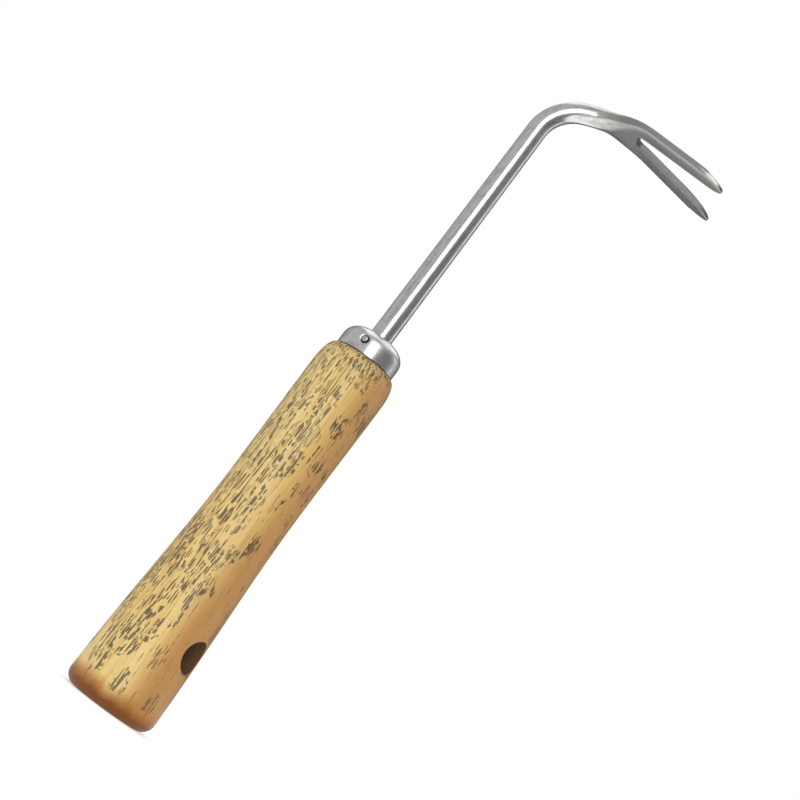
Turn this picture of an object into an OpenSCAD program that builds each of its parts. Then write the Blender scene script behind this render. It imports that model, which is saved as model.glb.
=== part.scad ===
// Hand weeder: turned wooden grip, domed steel ferrule, cross nail and a one-piece two-tined steel fork.
// Millimetres. The origin is the centre of the grip's flat butt, +Z runs up the grip's axis, and the fork
// reaches out along +X. The two tines spread along +Y and -Y.

/* [Grip] */
// Length of the wood from the butt to the shoulder under the ferrule
wood_len = 140.8; // [100:0.5:200]
// Radius of the grip at the butt
butt_r = 16.3; // [12:0.1:22]
// Rounding of the butt's rim
butt_round = 4.6; // [1:0.1:6]
// Radius of the grip where it is slimmest
waist_r = 13.8; // [10:0.1:18]
// Height of the slimmest place above the butt
waist_z = 86; // [50:1:110]
// Swell of the radius between the waist and the shoulder
grip_swell = 0.35; // [0:0.05:1.5]
// Extra radius of the flared foot
foot_flare = 0.45; // [0:0.05:1.5]
// Height of the flared foot
foot_len = 26; // [10:1:40]
// Length of the rounded nose below the ferrule
nose_len = 8.4; // [2:0.1:14]
// Radius of the wood where it meets the ferrule
shoulder_r = 11.5; // [9:0.1:16]

/* [Hang hole] */
// Radius of the hang hole
hang_r = 6; // [3:0.1:8]
// Height of the hang hole's axis above the butt
hang_z = 29; // [20:0.5:60]
// Turn of the hang hole's axis from +X towards -Y
hang_turn = 17; // [0:1:90]

/* [Ferrule] */
// Outside radius of the ferrule
ferrule_r = 11.25; // [9:0.05:15]
// Height of the ferrule's straight side
ferrule_side = 4; // [3:0.1:12]
// Height of the dome's full curve above the side
dome_h = 6.5; // [3:0.1:10]
// Fullness of the dome, 2 for an ellipse and more for squarer shoulders
dome_full = 2.5; // [2:0.1:4]
// Thickness of the ferrule's sheet
ferrule_t = 0.9; // [0.5:0.05:1.5]

/* [Nail] */
// Height of the nail above the ferrule's lower edge
nail_z = 4.8; // [2:0.1:5]
// Turn of the nail from -Y towards -X
nail_turn = 12; // [0:1:90]
// Radius of the nail's shank
nail_r = 0.7; // [0.4:0.05:1.2]
// Radius of the nail's head
nail_head_r = 1.2; // [0.8:0.05:2]
// How far in the nail's point reaches, as a radius from the grip's axis
nail_in = 5.6; // [5:0.1:9]

/* [Rod] */
// Radius of the rod where it leaves the ferrule
rod_r = 4.05; // [3:0.05:6]
// Radius of the rod where the bend starts
rod_end_r = 3.78; // [3:0.05:6]
// Height of the start of the bend above the butt
bend_z = 244; // [200:1:300]
// Radius of the first, tight bend
bend_r = 16; // [10:0.5:30]
// Slope of the rod after the first bend
bend_slope = 22; // [10:1:45]
// Radius of the second, easy bend
sweep_r = 50; // [25:1:80]
// Slope of the fork back towards the grip
fork_slope = 8.4; // [0:0.1:15]
// Length of the tang below the grip's shoulder
tang_len = 56; // [30:1:80]
// Thickness of the glue round the tang
glue_t = 0.5; // [0.2:0.05:1]

/* [Fork] */
// Distance along the rod, from the start of the bend, where it starts to flatten
flat_start = 23; // [18:0.5:30]
// Distance along the rod where the palm reaches its full width
flat_end = 42; // [32:0.5:50]
// Half width of the palm where the tines start
palm_w = 11.3; // [8:0.1:16]
// Half thickness of the tines
tine_t = 1.35; // [0.6:0.02:2]
// Distance along the rod of the slot's root
root_s = 40.3; // [36:0.1:50]
// Half width of the slot at its root
root_w = 4.2; // [2:0.1:7]
// Corner radius of the slot's root
root_round = 2.2; // [1:0.1:4]
// Spread of each tine per millimetre of length
tine_flare = 0.18; // [0:0.01:0.4]
// Distance along the rod of the tine's tip
tip_s = 75.8; // [60:0.1:100]
// Length over which the outer edge curves in to the tip
tip_len = 16; // [5:0.5:30]
// Thickness taken off the outer face of each tine at its tip
tip_bevel = 1.5; // [0:0.1:2]
// Length over which the tine thins towards its tip
bevel_len = 14; // [5:0.5:30]

/* [Hidden] */
$fn = 96;
tenon_r = ferrule_r - ferrule_t;
tenon_top = wood_len + ferrule_side + 2.6;
bore_r = rod_r + glue_t;
tang_z = wood_len - tang_len;
bore_z = tang_z - 2;
tip_apex = 2.6;
tip_in_len = 6.2;
ring_n = 44;
loft_steps = 22;

function ease(u) = let(v = min(1, max(0, u))) (1 - cos(180 * v)) / 2;
// Cubic between (s0, a) and (s1, b) that leaves flat and arrives with slope m.
function blend(s, s0, s1, a, b, m) =
    let(u = min(1, max(0, (s - s0) / (s1 - s0))))
    a + (b - a) * (3 * u * u - 2 * u * u * u) + m * (s1 - s0) * (u * u * u - u * u)
    + m * max(0, s - s1);

// The grip's outline as [radius, height] from the butt's centre to the shoulder.
function grip_radius(z) =
    (z < waist_z
    ? butt_r - (butt_r - waist_r) * ease((z - butt_round) / (waist_z - butt_round))
    : waist_r + grip_swell * ease((z - waist_z) / (wood_len - nose_len - waist_z)))
    + foot_flare * pow(max(0, 1 - z / foot_len), 2);
grip_top_r = grip_radius(wood_len - nose_len);
foot_r = grip_radius(butt_round);
rim = [for (a = [-90:10:0])
    [foot_r - butt_round + butt_round * cos(a), butt_round + butt_round * sin(a)]];
flank = [for (z = [6:4:wood_len - nose_len]) [grip_radius(z), z]];
nose = [for (a = [0:7.5:90])
    [shoulder_r + (grip_top_r - shoulder_r) * cos(a), wood_len - nose_len + nose_len * sin(a)]];

// The rod's centre line: two arcs and a straight, measured along its length from the bend's start.
s_one = bend_r * (90 - bend_slope) * PI / 180;
s_two = s_one + sweep_r * (bend_slope + fork_slope) * PI / 180;
one_x = bend_r * (1 - sin(bend_slope));
one_z = bend_z + bend_r * cos(bend_slope);
two_x = one_x + sweep_r * (sin(bend_slope) + sin(fork_slope));
two_z = one_z + sweep_r * (cos(fork_slope) - cos(bend_slope));
function heading(s) =
    s < 0 ? 90 : s < s_one ? 90 - s / bend_r * 180 / PI
    : s < s_two ? bend_slope - (s - s_one) / sweep_r * 180 / PI : -fork_slope;
function path(s) =
    s < 0 ? [0, bend_z + s]
    : s < s_one ? [bend_r * (1 - sin(heading(s))), bend_z + bend_r * cos(heading(s))]
    : s < s_two ? [one_x + sweep_r * (sin(bend_slope) - sin(heading(s))),
                   one_z + sweep_r * (cos(heading(s)) - cos(bend_slope))]
    : [two_x + (s - s_two) * cos(fork_slope), two_z - (s - s_two) * sin(fork_slope)];

// The bend and palm are one swept surface, whose cross-section starts as a circle a hair wider than the
// rod and spreads into a thin rounded rectangle.
loft_r = rod_end_r + 0.03;
function half_w(s) = blend(s, flat_start, flat_end, loft_r, palm_w, tine_flare);
function half_t(s) = blend(s, flat_start, flat_end, loft_r, tine_t, 0);
function squareness(s) = 2 + 8 * pow(ease((s - flat_start) / (flat_end - flat_start)), 2.5);
function bevel(s) = tip_bevel / 2 * pow(max(0, (s - tip_s + bevel_len) / bevel_len), 2);
function power(v, p) = sign(v) * pow(abs(v), p);
function section(s) = [for (i = [0:ring_n - 1])
    let(a = 360 * i / ring_n, p = 2 / squareness(s), c = path(s), h = heading(s),
        y = half_w(s) * power(cos(a), p), n = (half_t(s) - bevel(s)) * power(sin(a), p) - bevel(s))
    [c[0] - n * sin(h), y, c[1] + n * cos(h)]];
stations = concat([-0.1, 0], [for (i = [1:16]) s_one * i / 16],
    [for (i = [0:loft_steps]) flat_start + (flat_end - flat_start) * i / loft_steps],
    [45.5, 52, 60, 64, 68, 72, tip_s + 1]);
loft_pts = [for (s = stations) each section(s)];
loft_sides = [for (k = [0:len(stations) - 2], i = [0:ring_n - 1])
    let(a = k * ring_n, b = a + ring_n, j = (i + 1) % ring_n)
    each [[a + i, b + i, b + j], [a + i, b + j, a + j]]];
loft_caps = [[for (i = [0:ring_n - 1]) i],
    [for (i = [ring_n - 1:-1:0]) (len(stations) - 1) * ring_n + i]];

// What is cut away to leave the slot and the rounded tips, seen from above the palm, as
// [distance along the rod, distance from the middle].
function slot_w(s) = root_w + tine_flare * (s - root_s);
tine_w = half_w(root_s + 20) - slot_w(root_s + 20);
root_arc = [for (a = [0:15:90])
    [root_s + root_round * (1 - sin(a)), root_w - root_round + root_round * cos(a)]];
inner_tip = [for (a = [0:10:80])
    let(s = tip_s - tip_in_len + tip_in_len * sin(a)) [s, slot_w(s) + tip_apex * (1 - cos(a))]];
outer_tip = [for (a = [0:7.5:90])
    let(s = tip_s - tip_len + tip_len * sin(a))
    [s, slot_w(s) + tip_apex + (tine_w + 0.3 - tip_apex) * cos(a)]];
half_cut = concat([[tip_s - tip_len, 25]], outer_tip, [for (k = [8:-1:0]) inner_tip[k]], root_arc);
cut = concat(half_cut,
    [for (k = [len(half_cut) - 1:-1:0]) [half_cut[k][0], -half_cut[k][1]]],
    [[tip_s + 6, -25], [tip_s + 6, 25]]);

module handle() {
    color([0.83, 0.66, 0.42])
        difference() {
            union() {
                rotate_extrude()
                    polygon(concat([[0, 0]], rim, flank, nose, [[0, wood_len]]));
                translate([0, 0, wood_len - 1])
                    cylinder(r = tenon_r, h = ferrule_side + 1);
                translate([0, 0, wood_len + ferrule_side])
                    cylinder(r1 = tenon_r, r2 = tenon_r - 0.8, h = 2.6);
            }
            translate([0, 0, bore_z])
                cylinder(r = bore_r, h = tenon_top - bore_z + 1);
            translate([0, 0, hang_z])
                rotate([0, 90, -hang_turn])
                    cylinder(r = hang_r, h = 3 * butt_r, center = true);
            nail_at()
                cylinder(r = nail_r, h = ferrule_r - nail_in);
        }
}

module ferrule() {
    color([0.86, 0.87, 0.89])
        difference() {
            translate([0, 0, wood_len])
                rotate_extrude()
                    polygon(ferrule_wall);
            nail_at()
                cylinder(r = nail_r, h = ferrule_r);
            nail_at()
                translate([0, 0, ferrule_r - nail_in - 0.3])
                    cylinder(r = nail_head_r + 0.1, h = 3);
        }
}
// The dome's outline for an outside or inside radius r and height h, from its side in to the rod.
function dome(r, h) =
    let(p = 2 / dome_full, end = acos(pow(rod_r / r, 1 / p)))
    [for (k = [0:14]) let(a = end * k / 14) [r * pow(cos(a), p), ferrule_side + h * pow(sin(a), p)]];
dome_out = dome(ferrule_r, dome_h);
dome_in = dome(ferrule_r - ferrule_t, dome_h - ferrule_t);
ferrule_wall = concat([[tenon_r, 0], [ferrule_r, 0]], dome_out, [for (k = [14:-1:0]) dome_in[k]]);
dome_z = wood_len + round(100 * dome_out[14][1]) / 100;

// The nail's own frame: its point on the axis of the hole, +Z outwards.
module nail_at() {
    translate([0, 0, wood_len + nail_z])
        rotate([0, 90, -90 - nail_turn])
            translate([0, 0, nail_in])
                children();
}

module ferrule_pin() {
    color([0.70, 0.70, 0.72])
        nail_at() {
            cylinder(r1 = 0.15, r2 = nail_r, h = 1.2);
            translate([0, 0, 1.2])
                cylinder(r = nail_r, h = ferrule_r - nail_in - 1.5);
            translate([0, 0, ferrule_r - nail_in - 0.3])
                rotate_extrude()
                    polygon(concat([[0, 0], [nail_head_r, 0]], [for (a = [0:15:90])
                        [nail_head_r * cos(a), 0.25 + 0.4 * sin(a)]]));
        }
}

module weeding_fork() {
    color([0.80, 0.81, 0.83])
        union() {
            rotate_extrude()
                polygon([[0, tang_z], [2, tang_z], [rod_r, tang_z + 12], [rod_r, dome_z],
                    [rod_end_r, bend_z], [0, bend_z]]);
            difference() {
                polyhedron(points = loft_pts, faces = concat(loft_caps, loft_sides));
                slot_and_tips();
            }
        }
}

module slot_and_tips() {
    translate([two_x, 0, two_z])
        rotate([0, fork_slope, 0])
            translate([-s_two, 0, -20])
                linear_extrude(40)
                    polygon(cut);
}

module tang_adhesive() {
    color([0.62, 0.55, 0.36])
        difference() {
            translate([0, 0, bore_z])
                cylinder(r = bore_r, h = wood_len + 3 - bore_z);
            translate([0, 0, tang_z])
                cylinder(r1 = 2, r2 = rod_r, h = 12);
            translate([0, 0, tang_z + 12])
                cylinder(r = rod_r, h = tang_len);
        }
}

handle();
ferrule();
ferrule_pin();
weeding_fork();
tang_adhesive();
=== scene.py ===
import math

import bmesh
import bpy
import numpy as np
from mathutils import Matrix, Vector


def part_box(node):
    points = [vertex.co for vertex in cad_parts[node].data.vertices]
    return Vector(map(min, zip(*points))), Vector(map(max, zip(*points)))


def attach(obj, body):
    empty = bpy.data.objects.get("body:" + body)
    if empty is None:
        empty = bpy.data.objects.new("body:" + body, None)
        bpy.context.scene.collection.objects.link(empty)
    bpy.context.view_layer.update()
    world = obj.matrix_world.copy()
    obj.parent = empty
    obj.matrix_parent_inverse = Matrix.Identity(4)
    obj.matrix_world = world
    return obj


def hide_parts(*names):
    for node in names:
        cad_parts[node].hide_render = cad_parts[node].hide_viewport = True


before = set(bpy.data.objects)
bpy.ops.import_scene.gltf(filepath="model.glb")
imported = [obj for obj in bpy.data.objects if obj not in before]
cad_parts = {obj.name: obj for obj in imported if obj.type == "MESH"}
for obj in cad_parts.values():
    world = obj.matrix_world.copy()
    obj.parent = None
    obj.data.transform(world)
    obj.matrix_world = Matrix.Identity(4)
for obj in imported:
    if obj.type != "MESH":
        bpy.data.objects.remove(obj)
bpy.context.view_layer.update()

bl_info = {
    "name": "Hand Weeder",
    "version": (1, 0, 0),
    "blender": (4, 5, 0),
    "location": "View3D > Sidebar > Weeder",
    "description": "A turned wooden grip, a domed ferrule with its nail, and a two-tined steel fork",
    "category": "Add Mesh",
}

BODY = "root"
GRIP_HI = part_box("handle")[1]
CAP_LO, CAP_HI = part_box("ferrule")
STEEL_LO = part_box("weeding_fork")[0]
# Points closer than this become one, in metres.
WELD = 1e-7
# How many points go round each piece, over half of the bar's width and along each tine.
AROUND_GRIP = 192
AROUND_CAP = 384
AROUND_NAIL = 64
AROUND_FLOOR = 96
HALF_BAR = 40
TINE_ROWS = 110
FLOOR_RINGS = 4

# Grains of the patterns, per metre along X, Y and Z. On the fork X runs along the bar.
WANDER_GRAIN, PATCH_GRAIN = (55.0, 55.0, 9.0), (60.0, 60.0, 14.0)
FIBRE_GRAIN, HAIR_GRAIN = (1100.0, 1100.0, 24.0), (4200.0, 4200.0, 110.0)
CLOUD_GRAIN, KNOT_GRAIN = (190.0, 190.0, 95.0), (95.0, 95.0, 48.0)
THREAD_GRAIN, BREAK_GRAIN = (2300.0, 2300.0, 75.0), (950.0, 950.0, 430.0)
RIM_GRAIN, RESIN_GRAIN = (200.0, 200.0, 90.0), (300.0, 300.0, 120.0)
SMEAR_GRAIN, DENT_GRAIN = (260.0, 260.0, 340.0), (230.0, 230.0, 230.0)
RING_GRAIN, PLAIN_GRAIN = (90.0, 5200.0), (1.0, 1.0, 1.0)
WIRE_GRAIN, TOOTH_GRAIN = (2600.0, 2600.0, 2600.0), (900.0, 900.0, 900.0)
LINE_GRAIN, SCUFF_GRAIN = (45.0, 1500.0, 1500.0), (260.0, 800.0, 800.0)
GRIT_GRAIN, HAMMER_GRAIN = (2400.0, 2400.0, 2400.0), (150.0, 170.0, 170.0)
# Middle of the growth rings, outside the grip, in metres, and the rings' pace in radians per metre.
PITH_X, PITH_Y, RING_PACE = -0.021, 0.034, 2100.0


def length(name, text, default):
    """A size in metres for the sidebar."""
    return bpy.props.FloatProperty(name=name, description=text, default=default,
                                   min=0.0, precision=5, unit="LENGTH")


def angle(name, text, degrees):
    """An angle for the sidebar, given in degrees and kept in radians."""
    return bpy.props.FloatProperty(name=name, description=text, default=math.radians(degrees),
                                   subtype="ANGLE")


def amount(name, text, default):
    """A plain number for the sidebar."""
    return bpy.props.FloatProperty(name=name, description=text, default=default, min=0.0)


def tint(name, text, default):
    """A colour for the sidebar, in linear red, green and blue."""
    return bpy.props.FloatVectorProperty(name=name, description=text, default=default,
                                         subtype="COLOR", size=3, min=0.0, max=1.0)


def spot(name, text, default):
    """A place for the sidebar, in metres."""
    return bpy.props.FloatVectorProperty(name=name, description=text, default=default,
                                         subtype="XYZ", size=3, unit="LENGTH", precision=4)


class GripSizes(bpy.types.PropertyGroup):
    """The turned grip."""
    shoulder_z: length("Shoulder height", "Height of the wood's shoulder under the ferrule",
                       CAP_LO[2])
    butt_r: length("Butt radius", "Radius of the grip at its butt, without the flare", 0.0163)
    butt_round: length("Butt rounding", "Rounding of the butt's rim", 0.0046)
    waist_r: length("Waist radius", "Radius where the grip is slimmest", 0.0138)
    waist_z: length("Waist height", "Height of the slimmest place", 0.086)
    swell: length("Swell", "How much the radius grows from the waist to the nose", 0.00035)
    foot_flare: length("Foot flare", "Extra radius of the flared foot", 0.00045)
    foot_len: length("Foot length", "Height of the flared foot", 0.026)
    nose_len: length("Nose length", "Length of the rounded nose under the ferrule", 0.0084)
    shoulder_r: length("Shoulder radius", "Radius of the wood where it meets the ferrule", 0.0115)
    tenon_r: length("Tenon radius", "Radius of the tenon inside the ferrule", 0.01035)
    tenon_side: length("Tenon side", "Height of the tenon's straight side", 0.004)
    tenon_end_r: length("Tenon end radius", "Radius of the tenon at its end", 0.00955)
    tenon_top: length("Tenon top", "Height of the tenon's end", GRIP_HI[2])
    bore_r: length("Bore radius", "Radius of the bore for the tang", 0.00455)
    bore_z: length("Bore bottom", "Height of the bore's bottom", 0.0828)
    hang_r: length("Hang hole radius", "Radius of the hang hole", 0.006)
    hang_z: length("Hang hole height", "Height of the hang hole's axis", 0.029)
    hang_turn: angle("Hang hole turn", "Turn of the hang hole from +X towards -Y", 17.0)
    hang_rim: length("Hang hole rim", "Rounding of the hang hole's rim", 0.0006)


class FerruleSizes(bpy.types.PropertyGroup):
    """The pressed steel cap between the grip and the rod."""
    base_z: length("Lower edge", "Height of the ferrule's lower edge", CAP_LO[2])
    radius: length("Radius", "Outside radius", CAP_HI[0])
    side: length("Side", "Height of the straight side", 0.004)
    dome: length("Dome", "Height of the dome's full curve above the side", 0.0065)
    full: amount("Fullness", "2 for an elliptic dome, more for squarer shoulders", 2.5)
    sheet: length("Sheet", "Thickness of the sheet", 0.0009)
    lip: length("Lip", "Rounding of the lower edge and of the edge at the rod", 0.0003)
    hole_r: length("Hole radius", "Radius of the hole for the rod", 0.00405)
    dimple_r: length("Dimple radius", "Radius of the dimple that the nail's head sits in", 0.0020)
    dimple: length("Dimple depth", "How deep the nail has pushed the sheet in", 0.00034)


class NailSizes(bpy.types.PropertyGroup):
    """The small nail that pins the ferrule."""
    height: length("Height", "Height of the nail's axis", 0.1456)
    turn: angle("Turn", "Turn of the nail from -Y towards -X", 12.0)
    shank_r: length("Shank radius", "Radius of the shank", 0.0007)
    head_r: length("Head radius", "Radius of the head", 0.0012)
    head_seat: length("Head seat", "How deep the head sits below the ferrule's side", 0.0003)
    head_rim: length("Head rim", "Height of the head's straight rim", 0.00025)
    head_dome: length("Head dome", "Height of the head's dome above its rim", 0.0004)
    point_r: length("Point", "Distance of the point from the grip's axis", 0.0056)
    taper: length("Taper", "Length of the pointed end", 0.0012)


class ForkSizes(bpy.types.PropertyGroup):
    """The steel rod, its bend, the palm and the two tines."""
    tang_z: length("Tang end", "Height of the tang's end inside the grip", STEEL_LO[2])
    tang_r: length("Tang end radius", "Radius of the tang at its end", 0.002)
    tang_taper: length("Tang taper", "Length over which the tang reaches the rod's radius", 0.012)
    dome_z: length("Dome top", "Height where the rod leaves the ferrule", CAP_HI[2])
    rod_r: length("Rod radius", "Radius of the rod at the ferrule", 0.00405)
    rod_end_r: length("Rod end radius", "Radius of the rod at the bend", 0.00378)
    bend_z: length("Bend height", "Height where the bend starts", 0.244)
    bend_r: length("Bend radius", "Radius of the first, tight bend", 0.016)
    bend_slope: angle("Bend slope", "Slope of the rod after the tight bend", 22.0)
    sweep_r: length("Sweep radius", "Radius of the second, easy bend", 0.050)
    fork_slope: angle("Fork slope", "Slope of the fork back towards the grip", 8.4)
    flat_start: length("Flat start", "Distance along the rod where it starts to flatten", 0.023)
    flat_end: length("Flat end", "Distance along the rod where the palm is full width", 0.042)
    palm_w: length("Palm half width", "Half width of the palm", 0.0113)
    tine_t: length("Tine half thickness", "Half thickness of the tines", 0.00135)
    square: amount("Squareness", "How much squarer than a circle the palm's section is", 8.0)
    square_lag: amount("Squareness lag", "How late the section gets its corners", 2.5)
    root_s: length("Slot root", "Distance along the rod of the slot's root", 0.0403)
    root_w: length("Slot half width", "Half width of the slot at its root", 0.0042)
    root_round: length("Slot corner", "Corner radius of the slot's root", 0.0022)
    flare: amount("Flare", "Spread of each tine per unit of length", 0.18)
    tine_w: length("Tine width", "Width of each tine", 0.00671)
    tip_s: length("Tip", "Distance along the rod of the tine's tip", 0.0758)
    tip_len: length("Outer tip length", "Length over which the outer edge curves in", 0.016)
    tip_in_len: length("Inner tip length", "Length over which the inner edge curves out", 0.0062)
    tip_apex: length("Tip apex", "Distance of the tip from the slot's edge line", 0.0026)
    tip_out: length("Tip allowance", "How far outside the edge the tip's curve starts", 0.0003)
    bevel: length("Tip bevel", "Thickness taken off the outer face at the tip", 0.0015)
    bevel_len: length("Bevel length", "Length over which the tine thins", 0.014)
    edge: length("Edge rounding", "Rounding of the slot's edges", 0.00045)


class Colours(bpy.types.PropertyGroup):
    """The colours of the finishes."""
    honey: tint("Honey", "Lightest wood", (0.86, 0.655, 0.280))
    amber: tint("Amber", "Middle wood", (0.76, 0.47, 0.140))
    umber: tint("Umber", "Darkest streaks of the wood", (0.48, 0.25, 0.08))
    pores: tint("Pores", "Short dark pores of the wood", (0.085, 0.07, 0.045))
    end_grain_and_shade_orange: tint("Rim orange", "Band above the butt's rim, partly end grain and partly painted shade", (0.45, 0.18, 0.032))
    end_grain_and_shade_brown: tint("Rim brown", "Rim of the butt, partly end grain and partly painted shade", (0.165, 0.050, 0.006))
    painted_shade_side: tint("Shaded side", "Side of the wood in painted shade", (0.48, 0.225, 0.068))
    scorch_and_shade_brown: tint("Hole brown", "Inside of the hang hole", (0.115, 0.060, 0.038))
    bright_steel: tint("Bright steel", "Polished steel of the ferrule", (0.80, 0.80, 0.785))
    rod_steel: tint("Rod steel", "Drawn steel of the rod", (0.78, 0.78, 0.77))
    forged_steel: tint("Forged steel", "Satin steel of the palm and tines", (0.40, 0.40, 0.39))
    cut_steel: tint("Cut steel", "Rough cut faces of the slot", (0.20, 0.20, 0.19))
    dull_steel: tint("Dull steel", "Darker marks on the steel", (0.34, 0.34, 0.32))
    nail_steel: tint("Nail steel", "Steel of the nail", (0.62, 0.61, 0.59))
    # Painted shade: the dark line in the joins between parts and round the nail's head.
    painted_shade: tint("Painted shade", "Dark line in seams and round the nail", (0.035, 0.032, 0.028))
    resin: tint("Resin", "Hard glue round the tang", (0.34, 0.26, 0.12))
    floor: tint("Floor", "Pale floor", (0.90, 0.90, 0.895))
    floor_tooth: tint("Floor tooth", "Darker grains of the floor", (0.80, 0.80, 0.79))
    daylight: tint("Daylight", "Colour of the room's light", (1.0, 0.995, 0.985))


class StageSizes(bpy.types.PropertyGroup):
    """The floor, the lights and the camera."""
    floor_r: length("Floor radius", "Radius of the round floor", 0.46)
    drop: length("Floor gap", "Gap between the butt and the floor", 0.00004)
    aim: spot("Aim", "The point that the camera looks at", (0.0178, 0.0, 0.1375))
    distance: length("Camera distance", "Distance from the camera to the aim", 0.55275)
    azimuth: angle("Azimuth", "Turn of the camera round the object", 8.274)
    elevation: angle("Elevation", "Height of the camera above the horizon", -11.332)
    roll: angle("Roll", "Roll of the camera", 36.506)
    lens: amount("Lens", "Focal length in millimetres on a 36 mm sensor", 74.25)
    backdrop: amount("Backdrop", "Brightness of the white background", 1.0)
    room: amount("Room", "Brightness of the room round the object", 0.50)


class Signal:
    """A shader socket that takes part in sums: each operator adds one Math node."""

    def __init__(self, recipe, socket):
        self.recipe, self.socket = recipe, socket

    def join(self, kind, a, b=None):
        inputs = {0: a} if b is None else {0: a, 1: b}
        return self.recipe.node("ShaderNodeMath", {"operation": kind}, inputs)

    def __add__(self, other):
        return self.join("ADD", self, other)

    def __sub__(self, other):
        return self.join("SUBTRACT", self, other)

    def __rsub__(self, other):
        return self.join("SUBTRACT", other, self)

    def __mul__(self, other):
        return self.join("MULTIPLY", self, other)

    def __pow__(self, other):
        return self.join("POWER", self, other)

    __radd__, __rmul__ = __add__, __mul__

    def sine(self):
        return self.join("SINE", self)


class Recipe:
    """The nodes of one finish, or of the room."""

    def __init__(self, holder):
        holder.use_nodes = True
        self.holder, self.tree = holder, holder.node_tree
        self.tree.nodes.clear()

    @classmethod
    def finish(cls, name):
        return cls(bpy.data.materials.new(name))

    def node(self, kind, settings=None, inputs=None, output=0):
        """Adds a node, applies its settings first and then its inputs, and returns one output."""
        made = self.tree.nodes.new(kind)
        for key, value in (settings or {}).items():
            setattr(made, key, value)
        for key, value in (inputs or {}).items():
            if isinstance(value, Signal):
                self.tree.links.new(value.socket, made.inputs[key])
            else:
                made.inputs[key].default_value = value
        return Signal(self, made.outputs[output]) if made.outputs else made

    def place(self):
        return self.node("ShaderNodeTexCoord", output="Object")

    def parts(self, vector):
        made = self.node("ShaderNodeSeparateXYZ", inputs={0: vector}).socket.node
        return [Signal(self, made.outputs[k]) for k in range(3)]

    def vector(self, x, y, z):
        return self.node("ShaderNodeCombineXYZ", inputs={0: x, 1: y, 2: z})

    def noise(self, vector, scale, detail=3.0, rough=0.5, shift=(0.0, 0.0, 0.0)):
        """Cloudy noise whose grains per metre along each axis are given."""
        moved = self.node("ShaderNodeMapping", inputs={"Vector": vector, "Scale": scale,
                                                       "Location": shift})
        return self.node("ShaderNodeTexNoise", inputs={
            "Vector": moved, "Scale": 1.0, "Detail": detail, "Roughness": rough}, output="Fac")

    def cells(self, vector, scale):
        """Distance to the nearest of many scattered points, that many per metre."""
        moved = self.node("ShaderNodeMapping", inputs={"Vector": vector, "Scale": scale})
        return self.node("ShaderNodeTexVoronoi", inputs={"Vector": moved, "Scale": 1.0},
                         output="Distance")

    def step(self, value, low, high):
        """Smooth rise from 0 at low to 1 at high."""
        return self.node("ShaderNodeMapRange", {"interpolation_type": "SMOOTHSTEP"},
                         {"Value": value, "From Min": low, "From Max": high})

    def mix(self, amount_of_b, a, b):
        a = (*a, 1.0) if isinstance(a, tuple) else a
        b = (*b, 1.0) if isinstance(b, tuple) else b
        return self.node("ShaderNodeMix", {"data_type": "RGBA"}, {0: amount_of_b, 6: a, 7: b},
                         output=2)

    def bump(self, height, depth, strength, under=None):
        inputs = {"Height": height, "Distance": depth, "Strength": strength}
        if under is not None:
            inputs["Normal"] = under
        return self.node("ShaderNodeBump", inputs=inputs)

    def surface(self, inputs):
        shader = self.node("ShaderNodeBsdfPrincipled", inputs=inputs)
        self.node("ShaderNodeOutputMaterial", inputs={"Surface": shader})
        return self.holder


def ease(u):
    """Rises from 0 to 1 as half of one minus the cosine of u half turns, with u held in 0 to 1."""
    return (1 - np.cos(np.pi * np.clip(u, 0, 1))) / 2


def settle(s, start, stop, a, b, slope):
    """A cubic that leaves a flat at start and reaches b at stop with the slope, then goes straight."""
    u = np.clip((s - start) / (stop - start), 0, 1)
    cubic = a + (b - a) * (3 - 2 * u) * u * u + slope * (stop - start) * (u - 1) * u * u
    return cubic + slope * np.maximum(0, s - stop)


def arc(centre_r, centre_z, r_r, r_z, start, stop, count):
    """Points of an ellipse arc as radius and height, from one angle in degrees to another."""
    a = np.radians(np.linspace(start, stop, count))
    return np.stack([centre_r + r_r * np.cos(a), centre_z + r_z * np.sin(a)], -1)


def line(r0, z0, r1, z1, count):
    """Evenly spaced points of a straight piece of an outline, as radius and height."""
    return np.linspace((r0, z0), (r1, z1), count)


def outline(pieces):
    """Pieces of an outline end to end, without the points that repeat."""
    points = np.concatenate(pieces)
    gap = np.linalg.norm(np.diff(points, axis=0), axis=1)
    return points[np.concatenate([[True], gap > WELD])]


def quads(rows, cols, wrap=False):
    """The corner numbers of every cell of a grid of rows by cols points."""
    last = cols if wrap else cols - 1
    i, j = np.meshgrid(np.arange(rows - 1), np.arange(last), indexing="ij")
    k = (j + 1) % cols
    return np.stack([i * cols + j, i * cols + k, (i + 1) * cols + k, (i + 1) * cols + j], -1)


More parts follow.
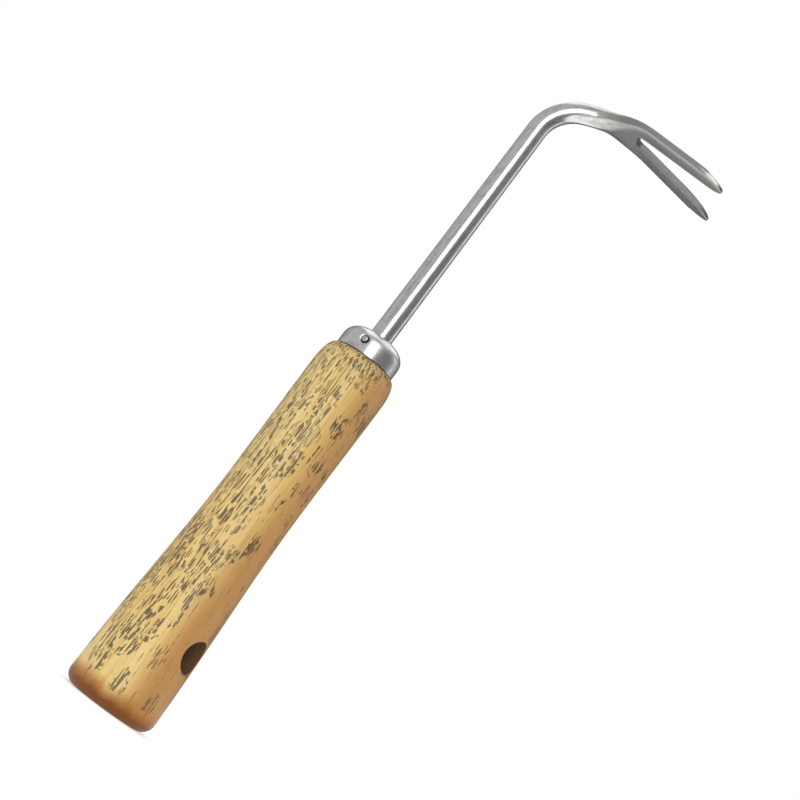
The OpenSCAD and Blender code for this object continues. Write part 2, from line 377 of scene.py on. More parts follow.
def make_piece(name, grids, finish, node, marks=None):
    """Joins grids of points, each with its cells, into one closed mesh that stands for a CAD node."""
    points = np.concatenate([g.reshape(-1, 3) for g, _ in grids])
    starts = np.cumsum([0] + [g.size // 3 for g, _ in grids[:-1]])
    cells = np.concatenate([c.reshape(-1, 4) + start for (_, c), start in zip(grids, starts)])
    mesh = bpy.data.meshes.new(name)
    mesh.vertices.add(len(points))
    mesh.vertices.foreach_set("co", points.ravel())
    mesh.loops.add(cells.size)
    mesh.loops.foreach_set("vertex_index", cells.ravel().astype(np.int32))
    mesh.polygons.add(len(cells))
    mesh.polygons.foreach_set("loop_start", np.arange(0, cells.size, 4, dtype=np.int32))
    mesh.update(calc_edges=True)
    if marks is not None:
        held = mesh.attributes.new("straight", "FLOAT_VECTOR", "POINT")
        held.data.foreach_set("vector", np.concatenate([m.reshape(-1, 3) for m in marks]).ravel())
    work = bmesh.new()
    work.from_mesh(mesh)
    bmesh.ops.remove_doubles(work, verts=work.verts, dist=WELD)
    bmesh.ops.recalc_face_normals(work, faces=work.faces)
    open_edges = sum(not e.is_manifold for e in work.edges)
    work.to_mesh(mesh)
    work.free()
    if open_edges:
        raise RuntimeError(f"{name} has {open_edges} open edges")
    mesh.polygons.foreach_set("use_smooth", np.ones(len(mesh.polygons), dtype=bool))
    mesh.materials.append(finish)
    piece = bpy.data.objects.new(name, mesh)
    bpy.context.collection.objects.link(piece)
    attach(piece, BODY)
    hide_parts(node)
    return piece


def grip_radius(z, g):
    """The grip's radius: an eased fall from the butt to the waist, then an eased swell to the nose,
    and a flare at the foot that dies away as a square."""
    fall = g.butt_r - (g.butt_r - g.waist_r) * ease((z - g.butt_round) / (g.waist_z - g.butt_round))
    nose_z = g.shoulder_z - g.nose_len
    swell = g.waist_r + g.swell * ease((z - g.waist_z) / (nose_z - g.waist_z))
    return np.where(z < g.waist_z, fall, swell) + g.foot_flare * np.maximum(0, 1 - z / g.foot_len) ** 2


def grip_turned(x, y, z, g):
    """Turns points from the hang hole's own axes to the grip's: x runs along the hole."""
    c, s = math.cos(g.hang_turn), math.sin(g.hang_turn)
    return np.stack([x * c + y * s, y * c - x * s, z], -1)


def grip_grids(g):
    """The grip is an outline turned round Z. Two windows are left out of the turned wall; each is
    filled by rings that go in straight steps from the window's frame to the hole's circle, always
    on the turned wall, then over a rounded rim, and a tube joins the two rims."""
    half_h, half_cols, cells_up = 0.0085, 18, 24
    nose_z = g.shoulder_z - g.nose_len
    low, high = g.hang_z - half_h, g.hang_z + half_h
    flank = np.concatenate([np.linspace(g.butt_round, low, 9), np.linspace(low, high, cells_up + 1),
                            np.linspace(high, nose_z, 60)])
    top_r = float(grip_radius(np.array(nose_z), g))
    ring_r = float(grip_radius(np.array(g.butt_round), g)) - g.butt_round
    profile = outline([
        line(0, 0, ring_r, 0, 10),
        arc(ring_r, g.butt_round, g.butt_round, g.butt_round, -90, 0, 20),
        np.stack([grip_radius(flank, g), flank], -1),
        arc(g.shoulder_r, nose_z, top_r - g.shoulder_r, g.nose_len, 0, 90, 22),
        line(g.shoulder_r, g.shoulder_z, g.tenon_r, g.shoulder_z, 3),
        line(g.tenon_r, g.shoulder_z, g.tenon_r, g.shoulder_z + g.tenon_side, 4),
        line(g.tenon_r, g.shoulder_z + g.tenon_side, g.tenon_end_r, g.tenon_top, 4),
        line(g.tenon_end_r, g.tenon_top, g.bore_r, g.tenon_top, 4),
        line(g.bore_r, g.tenon_top, g.bore_r, g.bore_z, 12),
        line(g.bore_r, g.bore_z, 0, g.bore_z, 3),
    ])
    radius, z = profile[:, :1], profile[:, 1:]
    phi = np.arange(AROUND_GRIP) * 2 * np.pi / AROUND_GRIP
    wall = grip_turned(radius * np.cos(phi), radius * np.sin(phi), z + 0 * phi, g)
    cells = quads(len(profile), AROUND_GRIP, wrap=True)
    first = int(np.argmin(np.abs(profile[:, 1] - low) + (profile[:, 0] < g.bore_r * 2)))
    rows = np.arange(len(profile) - 1)[:, None]
    cols = np.arange(AROUND_GRIP)[None, :]
    near = (cols < half_cols) | (cols >= AROUND_GRIP - half_cols)
    far = np.abs(cols + 0.5 - AROUND_GRIP / 2) < half_cols
    window = (rows >= first) & (rows < first + cells_up) & (near | far)
    grids = [(wall, cells[~window])]

    turn = 2 * np.pi / AROUND_GRIP * np.arange(-half_cols, half_cols + 1)
    up = np.linspace(low, high, cells_up + 1)
    frame_phi = np.concatenate([turn[:-1], np.full(cells_up, turn[-1]), turn[:0:-1],
                                np.full(cells_up, turn[0])])
    frame_z = np.concatenate([np.full(2 * half_cols, low), up[:-1], np.full(2 * half_cols, high),
                              up[:0:-1]])
    frame_y = grip_radius(frame_z, g) * np.sin(frame_phi)
    psi = np.arctan2(frame_z - g.hang_z, frame_y)
    reach = g.hang_r + g.hang_rim
    e = (1 - (1 - np.linspace(0, 1, 12)) ** 1.4)[:, None]
    ring_y = frame_y * (1 - e) + reach * np.cos(psi) * e
    ring_z = frame_z * (1 - e) + (g.hang_z + reach * np.sin(psi)) * e
    ring_x = np.sqrt(grip_radius(ring_z, g) ** 2 - ring_y ** 2)
    a = np.radians(np.linspace(0, 90, 9))[:, None]
    rho = g.hang_r + g.hang_rim * (1 - np.sin(a))
    rim_y, rim_z = rho * np.cos(psi), g.hang_z + rho * np.sin(psi)
    rim_x = np.sqrt(grip_radius(rim_z, g) ** 2 - rim_y ** 2) - g.hang_rim * (1 - np.cos(a))
    rings = [np.concatenate(pair) for pair in ((ring_x, rim_x), (ring_y, rim_y), (ring_z, rim_z))]
    for side in (1, -1):
        filled = grip_turned(side * rings[0], rings[1], rings[2], g)
        grids.append((filled, quads(len(filled), len(psi), wrap=True)))
    u = np.linspace(1, -1, 17)[:, None]
    tube = grip_turned(u * rim_x[-1], rim_y[-1] + 0 * u, rim_z[-1] + 0 * u, g)
    grids.append((tube, quads(len(tube), len(psi), wrap=True)))
    return grids


def lathe(profile, count, frame_matrix=None):
    """An outline of radius and height turned round Z, with an optional turn and shift at the end."""
    phi = np.arange(count) * 2 * np.pi / count
    r, z = profile[:, :1], profile[:, 1:]
    points = np.stack([r * np.cos(phi), r * np.sin(phi), z + 0 * phi], -1)
    if frame_matrix is not None:
        m = np.array(frame_matrix)
        points = points @ m[:3, :3].T + m[:3, 3]
    return points


def dome(r, h, f, count):
    """Part of a superellipse as radius and height, from the ferrule's side in to the rod's hole."""
    p = 2 / f.full
    a = np.linspace(0, math.acos((f.hole_r / r) ** (1 / p)), count)
    return np.stack([r * np.cos(a) ** p, f.side + h * np.sin(a) ** p], -1)


def ferrule_grids(f, n):
    """The cap's wall turned round Z: lower lip, side, dome, a small lip at the rod and the inside.
    Points near the nail's axis are pushed in by an eased amount for the dimple."""
    over = dome(f.radius, f.dome, f, 60)
    under = dome(f.radius - f.sheet, f.dome - f.sheet, f, 20)
    inside_r = f.radius - f.sheet
    lip = over[:, 0] > f.hole_r + f.lip
    top = over[lip][-1]
    profile = outline([
        line(inside_r, f.lip, inside_r + f.lip, 0, 3),
        line(inside_r + f.lip, 0, f.radius - f.lip, 0, 2),
        arc(f.radius - f.lip, f.lip, f.lip, f.lip, -90, 0, 8),
        line(f.radius, f.lip, f.radius, f.side, 20),
        over[lip],
        arc(top[0], top[1] - f.lip, top[0] - f.hole_r, f.lip, 90, 180, 8),
        line(f.hole_r, top[1] - f.lip, *under[-1], 3),
        under[::-1],
        line(inside_r, f.side, inside_r, f.lip, 4),
    ])
    profile[:, 1] += f.base_z
    wall = lathe(profile, AROUND_CAP)
    out = np.array([-math.sin(n.turn), -math.cos(n.turn), 0.0])
    from_axis = wall - [0, 0, n.height]
    along = from_axis @ out
    off = np.linalg.norm(from_axis - along[..., None] * out, axis=-1)
    depth = f.dimple * (1 - ease((off - n.head_r * 1.03) / (f.dimple_r - n.head_r * 1.03)))
    skin = np.hypot(wall[..., 0], wall[..., 1]) > inside_r + f.sheet / 2
    wall = wall - (depth * skin * (along > 0))[..., None] * out
    ring = np.concatenate([wall, wall[:1]])
    return [(ring, quads(len(ring), AROUND_CAP, wrap=True))]


def nail_grids(f, n):
    """The nail's outline, point to domed head, turned round its own axis through the ferrule."""
    seat = f.radius - n.head_seat
    profile = outline([
        line(0, n.point_r, 0.0001, n.point_r, 2),
        line(0.0001, n.point_r, n.shank_r, n.point_r + n.taper, 5),
        line(n.shank_r, n.point_r + n.taper, n.shank_r, seat, 8),
        line(n.shank_r, seat, n.head_r * 0.97, seat, 4),
        line(n.head_r, seat + n.head_r * 0.03, n.head_r, seat + n.head_rim, 4),
        arc(0, seat + n.head_rim, n.head_r, n.head_dome, 0, 90, 22),
    ])
    profile[-1, 0] = 0.0
    out = Vector((-math.sin(n.turn), -math.cos(n.turn), 0.0))
    turned = out.to_track_quat("Z", "Y").to_matrix().to_4x4()
    place = Matrix.Translation((0, 0, n.height)) @ turned
    wall = lathe(profile, AROUND_NAIL, place)
    return [(wall, quads(len(profile), AROUND_NAIL, wrap=True))]


def bar_points(s, y, n, k):
    """Bends straightened points into place. s runs along the bar's centre line, y across it and n
    out of the bend: straight up Z, a tight arc, an easy arc and a straight run."""
    s_one = k.bend_r * (np.pi / 2 - k.bend_slope)
    s_two = s_one + k.sweep_r * (k.bend_slope + k.fork_slope)
    turn_one = np.pi / 2 - s / k.bend_r
    turn_two = k.bend_slope - (s - s_one) / k.sweep_r
    zones = [s < 0, s < s_one, s < s_two]
    h = np.select(zones, [np.pi / 2, turn_one, turn_two], -k.fork_slope)
    one_x = k.bend_r * (1 - math.sin(k.bend_slope))
    one_z = k.bend_z + k.bend_r * math.cos(k.bend_slope)
    two_x = one_x + k.sweep_r * (math.sin(k.bend_slope) + math.sin(k.fork_slope))
    two_z = one_z + k.sweep_r * (math.cos(k.fork_slope) - math.cos(k.bend_slope))
    x = np.select(zones, [0 * s, k.bend_r * (1 - np.sin(h)),
                          one_x + k.sweep_r * (math.sin(k.bend_slope) - np.sin(h))],
                  two_x + (s - s_two) * math.cos(k.fork_slope))
    z = np.select(zones, [k.bend_z + s, k.bend_z + k.bend_r * np.cos(h),
                          one_z + k.sweep_r * (np.cos(h) - math.cos(k.bend_slope))],
                  two_z - (s - s_two) * math.sin(k.fork_slope))
    return np.stack([x - n * np.sin(h), y, z + n * np.cos(h)], -1)


def bar_widths(s, k):
    """Half width and half thickness of the bar at s: tang, rod, then the flattened palm."""
    rod = np.interp(k.bend_z + s, [k.tang_z, k.tang_z + k.tang_taper, k.dome_z, k.bend_z],
                    [k.tang_r, k.rod_r, k.rod_r, k.rod_end_r])
    wide = settle(s, k.flat_start, k.flat_end, k.rod_end_r, k.palm_w, k.flare)
    thick = settle(s, k.flat_start, k.flat_end, k.rod_end_r, k.tine_t, 0.0)
    return np.where(s < 0, rod, wide), np.where(s < 0, rod, thick)


def slot_width(s, k):
    """Half width of the slot between the tines, growing with the flare."""
    return k.root_w + k.flare * (s - k.root_s)


def even(path, count):
    """Points spaced evenly along a polyline."""
    run = np.concatenate([[0], np.cumsum(np.linalg.norm(np.diff(path, axis=0), axis=1))])
    at = np.linspace(0, 1, count) * run[-1]
    return np.stack([np.interp(at, run, path[:, 0]), np.interp(at, run, path[:, 1])], -1)


def away(s, y, path):
    """Distance of every point to the nearest place on a polyline, segment by segment."""
    a, b = path[:-1], path[1:]
    d = b - a
    to = np.stack([s, y], -1)[..., None, :] - a
    t = np.clip((to * d).sum(-1) / (d * d).sum(-1), 0, 1)
    return np.linalg.norm(to - t[..., None] * d, axis=-1).min(-1)


def fork_grids(k):
    """Half of the fork as one sheet that wraps from the middle over the top, round the outer edge
    and back under. Its section is a superellipse, a circle on the rod and nearly a rectangle on the
    tines. Past the slot's root the inner edge follows the slot's outline, its edges are rounded and
    a wall joins top and bottom. The other half is the same with y turned about."""
    fine = np.radians(np.linspace(0, 90, 24))
    corner = np.stack([k.root_s + k.root_round * (1 - np.cos(fine)),
                       k.root_w - k.root_round + k.root_round * np.sin(fine)], -1)
    in_s = k.tip_s - k.tip_in_len + k.tip_in_len * np.sin(fine)
    in_tip = np.stack([in_s, slot_width(in_s, k) + k.tip_apex * (1 - np.cos(fine))], -1)
    slot_edge = outline([np.array([[k.root_s, 0.0]]), corner, in_tip])
    out_s = k.tip_s - k.tip_len + k.tip_len * np.sin(fine)
    bulge = k.tine_w + k.tip_out - k.tip_apex
    out_tip = np.stack([out_s, slot_width(out_s, k) + k.tip_apex + bulge * np.cos(fine)], -1)
    edge_s = np.concatenate([np.linspace(k.root_s, k.tip_s - k.tip_len, 30)[:-1], out_s])
    tip_y = np.interp(edge_s, out_s, out_tip[:, 1], left=1.0)
    outer_edge = np.stack([edge_s, np.minimum(bar_widths(edge_s, k)[0], tip_y)], -1)

    u = np.linspace(0, 1, HALF_BAR + 1)
    q = (1 - np.cos(np.pi * u)) / 2
    # Rows along the bar: the tang, the straight rod, the bend, the flattening and a last stretch
    # whose rows crowd towards the slot's root.
    rod_from, rod_to, last_stretch = -0.132, -0.001, 0.0007
    close = k.root_s - last_stretch * np.linspace(1, 0, 12) ** 1.6
    tang_s = k.tang_z - k.bend_z
    run = np.concatenate([[tang_s, tang_s, tang_s + k.tang_taper], np.linspace(rod_from, rod_to, 60),
                          np.linspace(0, k.flat_start, 48)[:-1],
                          np.linspace(k.flat_start, close[0], 44)[:-1], close])
    wide = bar_widths(run, k)[0]
    wide[0] = 0.0
    rows_s = np.repeat(run[:, None], len(q), 1)
    rows_y = wide[:, None] * q
    inner = even(slot_edge, TINE_ROWS)[1:]
    outer = even(outer_edge, TINE_ROWS)[1:]
    rows_s = np.concatenate([rows_s, inner[:, :1] + (outer - inner)[:, :1] * q])
    rows_y = np.concatenate([rows_y, inner[:, 1:] + (outer - inner)[:, 1:] * q])

    w, t = bar_widths(rows_s, k)
    w[0], t[0] = 1.0, 0.0
    shape = 2 + k.square * ease((rows_s - k.flat_start) / (k.flat_end - k.flat_start)) ** k.square_lag
    gap = w - rows_y
    head = rows_s[:, 0] > k.tip_s - k.tip_len * 1.2
    gap[head] = np.minimum(gap[head], away(rows_s[head], rows_y[head], out_tip[8:]))
    near = np.clip(1 - gap / w, 0, 1)
    full = (1 - near ** shape) ** (1 / shape)
    full[:, -1] = 0.0
    full[0] = 0.0
    round_in = np.ones_like(full)
    late = rows_s[:, 0] > k.root_s - 0.004
    d = np.clip(away(rows_s[late], rows_y[late], slot_edge) / k.edge, 0, 1)
    round_in[late] = 1 - k.edge / k.tine_t * (1 - np.sqrt(1 - (1 - d) ** 2))
    thin = k.bevel / 2 * np.clip((rows_s - k.tip_s + k.bevel_len) / k.bevel_len, 0, None) ** 2
    body = (t - thin) * full * round_in
    s = np.concatenate([rows_s, rows_s[:, -2::-1]], 1)
    y = np.concatenate([rows_y, rows_y[:, -2::-1]], 1)
    n = np.concatenate([body - thin, (-body - thin)[:, -2::-1]], 1)
    root = len(run) - 1
    m = np.linspace(0, 1, 9)
    wall = [v[root:, :1] * (1 - m) + v[root:, -1:] * m for v in (s, y, n)]
    grids, marks = [], []
    for side in (1, -1):
        for gs, gy, gn in ((s, y, n), wall):
            grids.append((bar_points(gs, side * gy, gn, k), quads(*gs.shape)))
            marks.append(np.stack([gs, side * gy, gn], -1))
    return grids, marks


def wood_finish(c, g):
    """Lacquered pale hardwood: soft growth bands round a pith outside the grip, long fibres along Z,
    short pores, pin knots, one side painted darker as shade, a rim at the butt darker from end grain
    and painted shade, painted shade under the ferrule, and a dark hang hole, its inside partly
    scorched and partly painted shade."""
    r = Recipe.finish("honey_wood")
    place = r.place()
    x, y, z = r.parts(place)
    wander = r.noise(place, WANDER_GRAIN, 3.0)
    from_pith = ((x - PITH_X) ** 2.0 + (y - PITH_Y) ** 2.0) ** 0.5
    bands = r.step(((from_pith + wander * 0.0075) * RING_PACE).sine() * 0.5 + 0.5, 0.1, 1.0)
    patches = r.step(r.noise(place, PATCH_GRAIN, 2.0, 0.5, (3.0, 1.0, 0.0)), 0.36, 0.66)
    fibres = r.noise(place, FIBRE_GRAIN, 5.0, 0.62)
    hairs = r.noise(place, HAIR_GRAIN, 3.0, 0.6, (5.0, 2.0, 1.0))
    pale = r.mix(bands * 0.28 + patches * 0.40, c.honey[:], c.amber[:])
    streaked = r.mix(r.step(fibres, 0.47, 0.72) * 0.45, pale, c.umber[:])
    combed = r.mix(r.step(hairs, 0.5, 0.85) * 0.26, streaked, c.umber[:])
    lit = r.mix(r.step(fibres, 0.5, 0.30) * 0.4, combed, c.honey[:])
    # One side of the wood is painted darker: painted shade on the side away from the lights.
    shade_side_mask = r.step(x - y * 0.35 + wander * 0.004, 0.0105, 0.0175)
    side_shaded = r.mix(shade_side_mask * 0.85, lit, c.painted_shade_side[:])
    # Pores are broken threads that crowd in clouds, mostly on one side and away from the butt.
    side = r.step(x + y * 0.25 - z * 0.06, 0.0060, -0.0095)
    low_end = r.step(z, -0.004, 0.052) * 0.7 + 0.3
    cloud = r.noise(place, CLOUD_GRAIN, 2.0, 0.5, (7.0, 0.0, 2.0))
    crowd = r.step(cloud + side * low_end * 0.225, 0.575, 0.625)
    threads = r.noise(place, THREAD_GRAIN, 1.0, 0.5, (1.0, 4.0, 0.0))
    breaks = r.step(r.noise(place, BREAK_GRAIN, 1.0, 0.5, (3.0, 3.0, 5.0)), 0.41, 0.49)
    dashes = r.step(threads + crowd * 0.195, 0.662, 0.702) * breaks
    pored = r.mix(dashes * 0.86, side_shaded, c.pores[:])
    knots = r.step(r.cells(place, KNOT_GRAIN), 0.075, 0.03)
    knotted = r.mix(knots * 0.6, pored, c.umber[:])
    # Both ends are darker, with a ragged edge: at the butt partly end grain that takes up more lacquer
    # and partly painted shade on the rim that faces down, and under the ferrule painted shade alone.
    ragged = z + r.noise(place, RIM_GRAIN, 3.0) * 0.004
    end_grain_and_shade_band = r.mix(r.step(ragged, 0.0112, 0.0066) * 0.9, knotted, c.end_grain_and_shade_orange[:])
    butt = r.step(ragged, 0.0084, 0.0042)
    # Painted shade on the top of the nose, just under the ferrule.
    crown_shade = r.step(ragged, 0.1395, 0.1428)
    rim_grain_and_shade = r.mix(butt * 0.92 + crown_shade * 0.3, end_grain_and_shade_band, c.end_grain_and_shade_brown[:])
    # Painted shade: a dark line on the wood just under the ferrule, where the two meet.
    seam_shade = r.step(z, g.shoulder_z - 0.00045, g.shoulder_z - 0.0001)
    seam_shaded = r.mix(seam_shade * 0.9, rim_grain_and_shade, c.painted_shade[:])
    # The hang hole: a ring round its rim painted darker as shade, and the inside painted dark brown,
    # partly scorch from the drill and partly painted shade.
    across = x * math.sin(g.hang_turn) + y * math.cos(g.hang_turn)
    off = (across ** 2.0 + (z - g.hang_z) ** 2.0) ** 0.5
    inside = r.step(off, g.hang_r + 0.00035, g.hang_r - 0.00005)
    rim_shade_ring = r.step(off, g.hang_r + 0.0014, g.hang_r + 0.0002)
    hole_rim_shaded = r.mix(rim_shade_ring * 0.45, seam_shaded, c.umber[:])
    holed = r.mix(inside * 0.93, hole_rim_shaded, c.scorch_and_shade_brown[:])
    height = fibres * 0.5 + hairs * 0.35 - dashes * 0.45
    return r.surface({
        "Base Color": holed,
        "Roughness": fibres * 0.16 + inside * 0.25 + 0.36,
        "Coat Weight": 0.28 - inside * 0.26 - butt * 0.26,
        "Coat Roughness": 0.16,
        "Specular IOR Level": 0.2,
        "Normal": r.bump(height, 0.00006, 0.35),
    })


def from_nail(r, n):
    """Distance of a point from the nail's axis, as shader maths."""
    x, y, z = r.parts(r.place())
    across = x * math.cos(n.turn) - y * math.sin(n.turn)
    return (across ** 2.0 + (z - n.height) ** 2.0) ** 0.5


def ferrule_finish(c, n):
    """Polished pressed steel: faint rings from polishing, dull smears, gentle dents, and painted shade
    in the join above the wood and in the gap round the nail's head."""
    r = Recipe.finish("bright_ferrule_steel")
    place = r.place()
    x, y, z = r.parts(place)
    run = (x ** 2.0 + y ** 2.0) ** 0.5 - z
    across, along = RING_GRAIN
    rings = r.noise(r.vector(x * across, y * across, run * along), PLAIN_GRAIN, 3.0, 0.6)
    smears = r.step(r.noise(place, SMEAR_GRAIN, 4.0, 0.6), 0.44, 0.62)
    dents = r.noise(place, DENT_GRAIN, 2.0, 0.4, (2.0, 5.0, 0.0))
    clean = r.mix(smears * 0.42, c.bright_steel[:], c.dull_steel[:])
    # Painted shade: a dark line along the lower edge, where the ferrule meets the wood, and a dark
    # ring in the gap round the nail's head, on the front only.
    seam_shade = r.step(z, CAP_LO[2] + 0.00055, CAP_LO[2] + 0.0002)
    front = r.step(y, 0.0, -0.002)
    gap = r.step(from_nail(r, n), n.head_r * 1.5, n.head_r * 1.15) * front
    colour = r.mix(seam_shade * 0.85 + gap * 0.85, clean, c.painted_shade[:])
    low = r.bump(dents, 0.00014, 0.4)
    return r.surface({
        "Base Color": colour,
        "Metallic": 1.0,
        "Roughness": smears * 0.12 + rings * 0.10 + 0.15,
        "Normal": r.bump(rings, 0.00001, 0.25, low),
    })


def nail_finish(c, n):
    """Plain wire steel, with painted shade round the head's edge."""
    r = Recipe.finish("nail_wire_steel")
    grit = r.noise(r.place(), WIRE_GRAIN, 4.0, 0.6)
    worn = r.mix(r.step(grit, 0.4, 0.75) * 0.6, c.nail_steel[:], c.dull_steel[:])
    # Painted shade round the edge of the head, where it sinks into the dimple.
    edge = r.step(from_nail(r, n), n.head_r * 0.62, n.head_r * 0.92)
    return r.surface({
        "Base Color": r.mix(edge * 0.85, worn, c.painted_shade[:]),
        "Metallic": 1.0,
        "Roughness": grit * 0.25 + 0.18,
        "Normal": r.bump(grit, 0.00002, 0.3),
    })


def fork_finish(c, k):
    """Drawn bright rod with lengthwise draw lines, turning satin on the hammered palm and tines.
    The pattern lies on the straightened bar, so it follows the bend."""
    r = Recipe.finish("fork_steel")
    bar = r.node("ShaderNodeAttribute", {"attribute_name": "straight"}, output="Vector")
    s, y = r.parts(bar)[:2]
    lines = r.noise(bar, LINE_GRAIN, 5.0, 0.65)
    scuffs = r.noise(bar, SCUFF_GRAIN, 4.0, 0.65, (4.0, 1.0, 2.0))
    grit = r.noise(bar, GRIT_GRAIN, 3.0, 0.6)
    hammered = r.noise(bar, HAMMER_GRAIN, 2.0, 0.45, (0.0, 3.0, 7.0))
    forged = r.step(s, k.flat_start - 0.004, k.flat_start + 0.012)
    wear = r.step(s, k.tip_s - 0.016, k.tip_s)
    dull = r.step(scuffs, 0.48, 0.62) * (0.38 + forged * 0.1)
    past_edge = (y ** 2.0) ** 0.5 - slot_width(s, k)
    cut = r.step(past_edge, 0.0006, 0.0002) * r.step(s, k.root_s - 0.0006, k.root_s - 0.0002)
    clean = r.mix(forged, c.rod_steel[:], c.forged_steel[:])
    marks = r.step(lines, 0.50, 0.66) * 0.42
    marked = r.mix(dull + marks + wear * 0.12, clean, c.dull_steel[:])
    colour = r.mix(cut * 0.75, marked, c.cut_steel[:])
    shape = r.bump(hammered, 0.00016, 0.4)
    return r.surface({
        "Base Color": colour,
        "Metallic": 1.0,
        "Roughness": lines * 0.10 + scuffs * 0.08 + forged * 0.10 + cut * 0.2 + 0.12,
        "Normal": r.bump(lines * 0.6 + grit * 0.15, 0.00001, 0.25, shape),
    })


def resin_finish(c):
    """Set glue, amber and slightly cloudy."""
    r = Recipe.finish("tang_resin")
    cloud = r.noise(r.place(), RESIN_GRAIN, 4.0, 0.6)
    return r.surface({
        "Base Color": r.mix(cloud, c.resin[:], c.umber[:]),
        "Roughness": cloud * 0.3 + 0.3,
        "Normal": r.bump(cloud, 0.0001, 0.3),
    })


def floor_finish(c):
    """Matt pale board with a faint tooth."""
    r = Recipe.finish("pale_floor")
    tooth = r.noise(r.place(), TOOTH_GRAIN, 3.0, 0.6)
    return r.surface({
        "Base Color": r.mix(tooth * 0.04, c.floor[:], c.floor_tooth[:]),
        "Roughness": tooth * 0.1 + 0.75,
        "Specular IOR Level": 0.2,
        "Emission Color": (1.0, 1.0, 1.0, 1.0),
        "Emission Strength": 0.50,
    })


class WEEDER_OT_grip(bpy.types.Operator):
    """Turn the wooden grip with its hang hole"""
    bl_idname = "weeder.make_grip"
    bl_label = "Grip"

    def execute(self, context):
        sizes, colours = context.scene.weeder_grip, context.scene.weeder_colours
        make_piece("turned_grip", grip_grids(sizes), wood_finish(colours, sizes), "handle")
        return {"FINISHED"}


class WEEDER_OT_ferrule(bpy.types.Operator):
    """Press the steel ferrule with the dimple for its nail"""
    bl_idname = "weeder.make_ferrule"
    bl_label = "Ferrule"

    def execute(self, context):
        scene = context.scene
        make_piece("domed_ferrule", ferrule_grids(scene.weeder_ferrule, scene.weeder_nail),
                   ferrule_finish(scene.weeder_colours, scene.weeder_nail), "ferrule")
        return {"FINISHED"}


class WEEDER_OT_nail(bpy.types.Operator):
    """Drive in the small nail that pins the ferrule"""
    bl_idname = "weeder.make_nail"
    bl_label = "Nail"

    def execute(self, context):
        scene = context.scene
        make_piece("ferrule_nail", nail_grids(scene.weeder_ferrule, scene.weeder_nail),
                   nail_finish(scene.weeder_colours, scene.weeder_nail), "ferrule_pin")
        return {"FINISHED"}


class WEEDER_OT_fork(bpy.types.Operator):
    """Forge the rod, its bend and the two tines"""
    bl_idname = "weeder.make_fork"
    bl_label = "Fork"

    def execute(self, context):
        sizes = context.scene.weeder_fork
        grids, marks = fork_grids(sizes)
        make_piece("two_tined_fork", grids, fork_finish(context.scene.weeder_colours, sizes),
                   "weeding_fork", marks)
        return {"FINISHED"}


class WEEDER_OT_adhesive(bpy.types.Operator):
    """Give the glue round the tang its resin finish"""
    bl_idname = "weeder.finish_adhesive"
    bl_label = "Tang adhesive"

    def execute(self, context):
        finish = resin_finish(context.scene.weeder_colours)
        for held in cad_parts["tang_adhesive"].material_slots:
            held.material = finish
        return {"FINISHED"}


def soft_light(name, place, aim, wide, high, power):
    """A rectangular soft light at a place, facing its aim."""
    lamp = bpy.data.lights.new(name, "AREA")
    lamp.shape, lamp.size, lamp.size_y, lamp.energy = "RECTANGLE", wide, high, power
    holder = bpy.data.objects.new(name, lamp)
    holder.location = place
    holder.rotation_euler = (Vector(aim) - Vector(place)).to_track_quat("-Z", "Y").to_euler()
    bpy.context.collection.objects.link(holder)


# Each light's name, place, aim, width, height and power in watts, with lengths in metres.
LIGHTS = (
    ("overhead_box", (0.0, 0.38, 1.20), (0.0, 0.0, 0.1), 1.3, 1.3, 3.4),
    ("front_box", (0.18, -1.0, 0.50), (0.0, 0.0, 0.17), 0.54, 1.0, 3.8),
    ("right_strip", (0.92, 0.42, 0.30), (0.0, 0.0, 0.17), 0.20, 0.9, 0.42),
)
# Where the room is darker: a direction, where the shade starts and how deep it is.
SHADES = (
    ((0.92, -0.39, 0.0), 0.50, 0.62),
    ((-0.10, 0.98, 0.0), 0.42, 0.76),
)
# The camera's sensor in millimetres, and the nearest and farthest that it sees in metres.
SENSOR_WIDTH, NEAREST, FARTHEST = 36.0, 0.01, 50.0


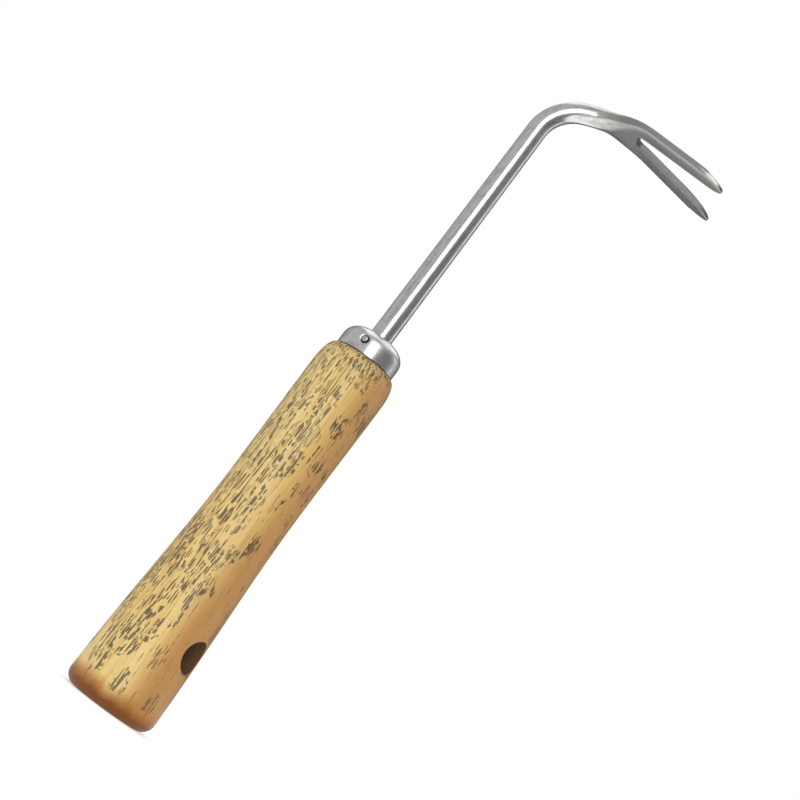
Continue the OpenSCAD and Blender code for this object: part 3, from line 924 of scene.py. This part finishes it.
class WEEDER_OT_stage(bpy.types.Operator):
    """Lay the pale floor and set the soft lights and the camera"""
    bl_idname = "weeder.make_stage"
    bl_label = "Stage"

    def execute(self, context):
        scene = context.scene
        sizes, colours = scene.weeder_stage, scene.weeder_colours
        phi = np.arange(AROUND_FLOOR) * 2 * np.pi / AROUND_FLOOR
        radii = np.linspace(0, sizes.floor_r, FLOOR_RINGS + 1)[1:, None]
        rings = np.stack([radii * np.cos(phi), radii * np.sin(phi), 0 * radii * phi - sizes.drop], -1)
        points = np.concatenate([[[0, 0, -sizes.drop]], rings.reshape(-1, 3)])
        middle = [(0, 1 + j, 1 + (j + 1) % AROUND_FLOOR) for j in range(AROUND_FLOOR)]
        cells = (quads(FLOOR_RINGS, AROUND_FLOOR, wrap=True).reshape(-1, 4)[:, ::-1] + 1).tolist()
        mesh = bpy.data.meshes.new("pale_floor")
        mesh.from_pydata(points.tolist(), [], middle + cells)
        mesh.materials.append(floor_finish(colours))
        floor = bpy.data.objects.new("pale_floor", mesh)
        context.collection.objects.link(floor)

        for made in LIGHTS:
            soft_light(*made)

        scene.world = bpy.data.worlds.new("studio_room")
        r = Recipe(scene.world)
        way = r.node("ShaderNodeTexCoord", output="Generated")
        shade = 1.0
        for toward, start, depth in SHADES:
            facing = r.node("ShaderNodeVectorMath", {"operation": "DOT_PRODUCT"},
                            {0: way, 1: toward}, output="Value")
            shade = shade - r.step(facing, start, 1.0) * depth
        room = r.node("ShaderNodeBackground", inputs={"Color": (*colours.daylight, 1.0),
                                                      "Strength": shade * sizes.room})
        white = r.node("ShaderNodeBackground", inputs={"Color": (1.0, 1.0, 1.0, 1.0),
                                                       "Strength": sizes.backdrop})
        seen = r.node("ShaderNodeLightPath", output="Is Camera Ray")
        both = r.node("ShaderNodeMixShader", inputs={0: seen, 1: room, 2: white})
        r.node("ShaderNodeOutputWorld", inputs={"Surface": both})
        scene.view_settings.view_transform = "Standard"

        a, e, roll = sizes.azimuth, sizes.elevation, sizes.roll
        back = Vector((math.sin(a) * math.cos(e), -math.cos(a) * math.cos(e), math.sin(e)))
        level = Vector((math.cos(a), math.sin(a), 0.0))
        right = level * math.cos(roll) + back.cross(level) * math.sin(roll)
        turned = Matrix((right, back.cross(right), back)).transposed().to_4x4()
        lens = bpy.data.cameras.new("view")
        lens.lens, lens.sensor_width = sizes.lens, SENSOR_WIDTH
        lens.clip_start, lens.clip_end = NEAREST, FARTHEST
        camera = bpy.data.objects.new("view", lens)
        camera.matrix_world = Matrix.Translation(Vector(sizes.aim) + back * sizes.distance) @ turned
        context.collection.objects.link(camera)
        scene.camera = camera
        return {"FINISHED"}


OPERATORS = (WEEDER_OT_grip, WEEDER_OT_ferrule, WEEDER_OT_nail, WEEDER_OT_fork,
             WEEDER_OT_adhesive, WEEDER_OT_stage)
GROUPS = {"weeder_grip": GripSizes, "weeder_ferrule": FerruleSizes, "weeder_nail": NailSizes,
          "weeder_fork": ForkSizes, "weeder_colours": Colours, "weeder_stage": StageSizes}


class WEEDER_PT_sidebar(bpy.types.Panel):
    """The weeder's pieces and sizes"""
    bl_label = "Hand Weeder"
    bl_space_type = "VIEW_3D"
    bl_region_type = "UI"
    bl_category = "Weeder"

    def draw(self, context):
        for made in OPERATORS:
            self.layout.operator(made.bl_idname)
        for name, group in GROUPS.items():
            box = self.layout.box()
            for key in group.__annotations__:
                box.prop(getattr(context.scene, name), key)


def register():
    for made in (*GROUPS.values(), *OPERATORS, WEEDER_PT_sidebar):
        bpy.utils.register_class(made)
    for name, group in GROUPS.items():
        setattr(bpy.types.Scene, name, bpy.props.PointerProperty(type=group))


def unregister():
    for name in GROUPS:
        delattr(bpy.types.Scene, name)
    for made in (WEEDER_PT_sidebar, *reversed(OPERATORS), *reversed(GROUPS.values())):
        bpy.utils.unregister_class(made)


def main():
    register()
    bpy.ops.weeder.make_grip()
    bpy.ops.weeder.make_ferrule()
    bpy.ops.weeder.make_nail()
    bpy.ops.weeder.make_fork()
    bpy.ops.weeder.finish_adhesive()
    bpy.ops.weeder.make_stage()


if __name__ == "__main__":
    main()
